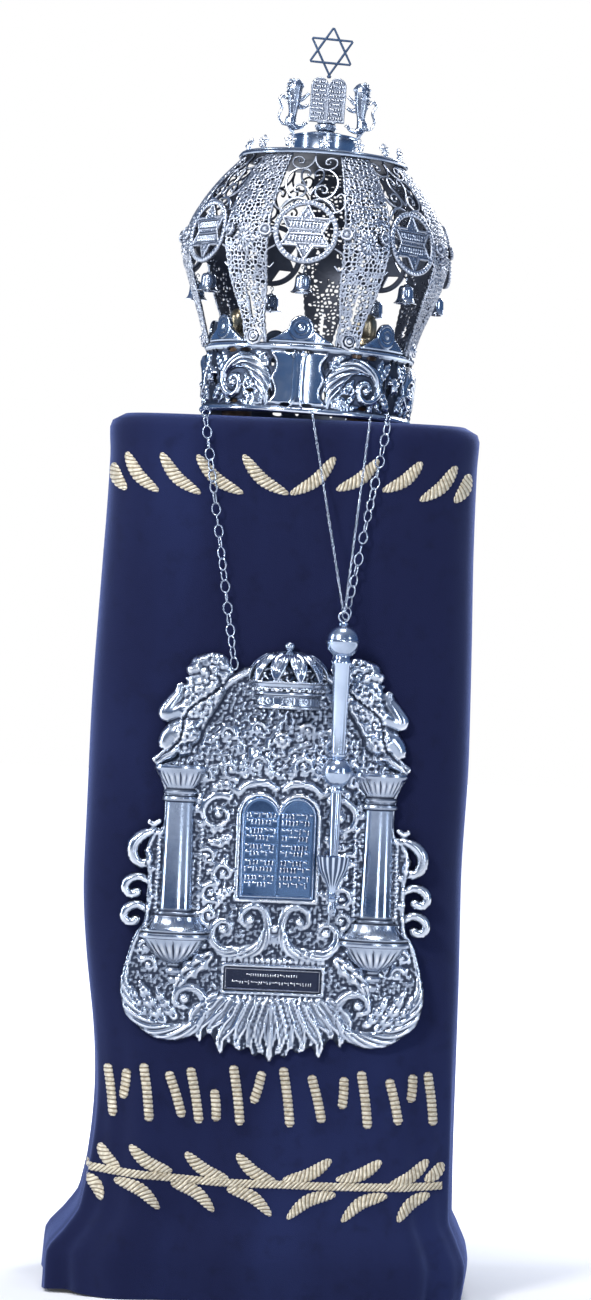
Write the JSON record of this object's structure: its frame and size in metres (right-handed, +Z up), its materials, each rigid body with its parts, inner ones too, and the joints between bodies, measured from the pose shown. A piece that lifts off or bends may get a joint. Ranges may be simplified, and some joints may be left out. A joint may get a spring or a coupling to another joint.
{
  "type": "torah scroll",
  "caption": "Dressed scroll standing on its two rollers, with a blue velvet mantle, a silver crown, a breastplate and a pointer on chains.",
  "frame": {"origin": "middle of the underside of the whole object's box, on the floor", "axes": "+Z up, the breastplate and pointer face -Y, +X to the viewer's right"},
  "size_m": [0.4096, 0.2854, 1.2125],
  "materials": {
    "wood": "dark polished",
    "parchment": "matt",
    "velvet": "deep blue velvet",
    "embroidery": "pale gold metal thread",
    "brass": "polished",
    "engraved_plate": "darkened silver",
    "silver": "polished silver, darkened in its recesses"
  },
  "bodies": {
    "root": {"roller_left": "wood", "roller_right": "wood", "parchment": "parchment", "mantle": "velvet", "stave_cap_left": "brass", "stave_cap_right": "brass", "breastplate_name_plate": "engraved_plate", "crown_band": "silver", "crown_rib_1": "silver", "crown_medallion_1": "silver", "crown_bell_1": "silver", "crown_rib_2": "silver", "crown_medallion_2": "silver", "crown_bell_2": "silver", "crown_rib_3": "silver", "crown_medallion_3": "silver", "crown_bell_3": "silver", "crown_rib_4": "silver", "crown_medallion_4": "silver", "crown_bell_4": "silver", "crown_rib_5": "silver", "crown_medallion_5": "silver", "crown_bell_5": "silver", "crown_rib_6": "silver", "crown_medallion_6": "silver", "crown_bell_6": "silver", "crown_rib_7": "silver", "crown_medallion_7": "silver", "crown_bell_7": "silver", "crown_top_plate": "silver", "crown_drum": "silver", "crown_vase": "silver", "crown_tablets": "silver", "crown_star": "silver", "crown_lion_left": "silver", "crown_lion_right": "silver", "breastplate": "silver", "breastplate_column_left": "silver", "breastplate_column_right": "silver", "breastplate_crown": "silver", "breastplate_tablets": "silver", "breastplate_chain_left": "silver", "breastplate_chain_right": "silver", "pointer": "silver", "pointer_hand": "silver", "pointer_chain": "silver"}
  },
  "joints": []
}
